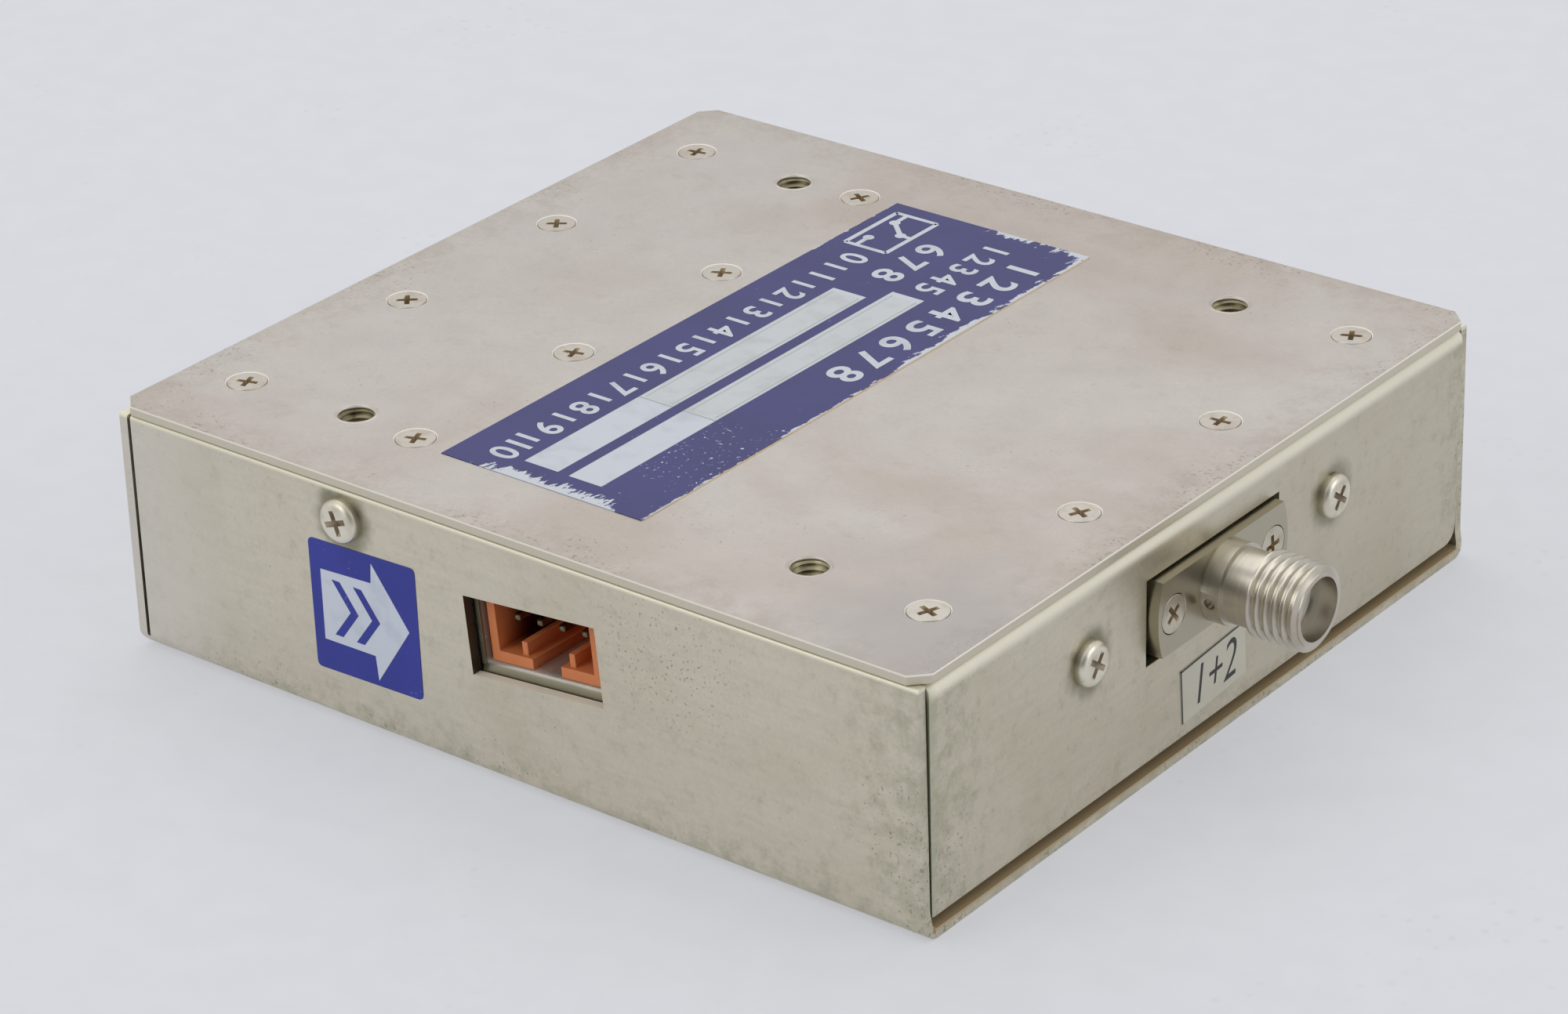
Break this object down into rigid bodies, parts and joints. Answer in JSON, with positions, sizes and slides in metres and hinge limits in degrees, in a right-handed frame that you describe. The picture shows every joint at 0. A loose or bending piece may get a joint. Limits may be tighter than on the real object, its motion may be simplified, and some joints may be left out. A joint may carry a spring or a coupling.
{
  "type": "coaxial changeover relay",
  "caption": "Flat plated metal box with threaded coaxial ports on two ends and a small control header; a rocking armature inside lifts one contact blade and drops the other.",
  "frame": {"origin": "middle of the case's floor, on its underside, below the middle of the four mounting holes", "axes": "+X out of the common port, -Y out of the control header's side, +Z out of the screwed cover plate"},
  "size_m": [0.085, 0.068, 0.0194],
  "materials": {
    "case_plating": "aged dull nickel plating, clouded and lightly stained",
    "screw_steel": "plated screw heads, brown tarnish in the cross slots",
    "block_alloy": "machined, with fine tool marks",
    "connector_steel": "passivated turned steel",
    "white_insulator": "waxy white",
    "gold_contact": "gold plated",
    "spring_steel": "drawn wire",
    "soft_iron": "zinc-plated iron",
    "black_moulding": "filled nylon",
    "enamelled_copper": "layers of enamelled wire",
    "tinned_brass": "bright tin plating",
    "bracket_steel": "bright tinned sheet",
    "ferrite": "ground ferrite",
    "orange_nylon": "orange moulded nylon, slightly waxy",
    "board_laminate": "green solder mask",
    "diode_glass": "moulded, with one light band",
    "wire_sleeve": "thin sleeve",
    "label_film": "worn printed film"
  },
  "bodies": {
    "case": {"case_tray": "case_plating", "com_end_panel": "case_plating", "top_plate": "case_plating", "plate_screws": "screw_steel", "case_screws": "screw_steel", "connector_screws": "screw_steel", "rf_cover_screws": "screw_steel", "yoke_screws": "screw_steel", "board_screws": "screw_steel", "rf_block": "block_alloy", "rf_cover": "block_alloy", "com_connector": "connector_steel", "port_1_connector": "connector_steel", "port_2_connector": "connector_steel", "connector_insulators": "white_insulator", "line_beads": "white_insulator", "rod_bushes": "white_insulator", "connector_contacts": "gold_contact", "com_line": "gold_contact", "port_1_line": "gold_contact", "port_2_line": "gold_contact", "return_spring_1": "spring_steel", "return_spring_2": "spring_steel", "pivot_pin": "spring_steel", "yoke_plate": "soft_iron", "coil_cores": "soft_iron", "coil_bobbins": "black_moulding", "coil_windings": "enamelled_copper", "coil_terminals": "tinned_brass", "header_pins": "tinned_brass", "yoke_spacers": "tinned_brass", "pivot_bracket": "bracket_steel", "header_bracket": "bracket_steel", "bias_magnet": "ferrite", "header_housing": "orange_nylon", "control_board": "board_laminate", "board_diodes": "diode_glass", "lead_wires": "wire_sleeve", "name_label": "label_film", "arrow_label": "label_film", "com_label": "label_film", "outlet_labels": "label_film"},
    "armature": {"armature_plate": "soft_iron", "armature_cradle": "black_moulding"},
    "rod_1": {"push_rod_1": "white_insulator", "contact_blade_1": "gold_contact"},
    "rod_2": {"push_rod_2": "white_insulator", "contact_blade_2": "gold_contact"}
  },
  "joints": [
    {"name": "armature_rock", "type": "hinge", "parent": "case", "child": "armature", "pos_m": [-0.004, 0, 0.0072], "axis": [-1, 0, 0], "range_deg": [0, 4.85]},
    {"name": "blade_1_slide", "type": "slide", "parent": "case", "child": "rod_1", "axis": [0, 0, -1], "range_m": [0, 0.00055], "deforming": ["return_spring_1"]},
    {"name": "blade_2_slide", "type": "slide", "parent": "case", "child": "rod_2", "axis": [0, 0, 1], "range_m": [0, 0.00055], "deforming": ["return_spring_2"]}
  ],
  "couplings": [
    {"joint": "blade_1_slide", "follows": "armature_rock", "m_per_rad": 0.0065},
    {"joint": "blade_2_slide", "follows": "armature_rock", "m_per_rad": 0.0065}
  ]
}
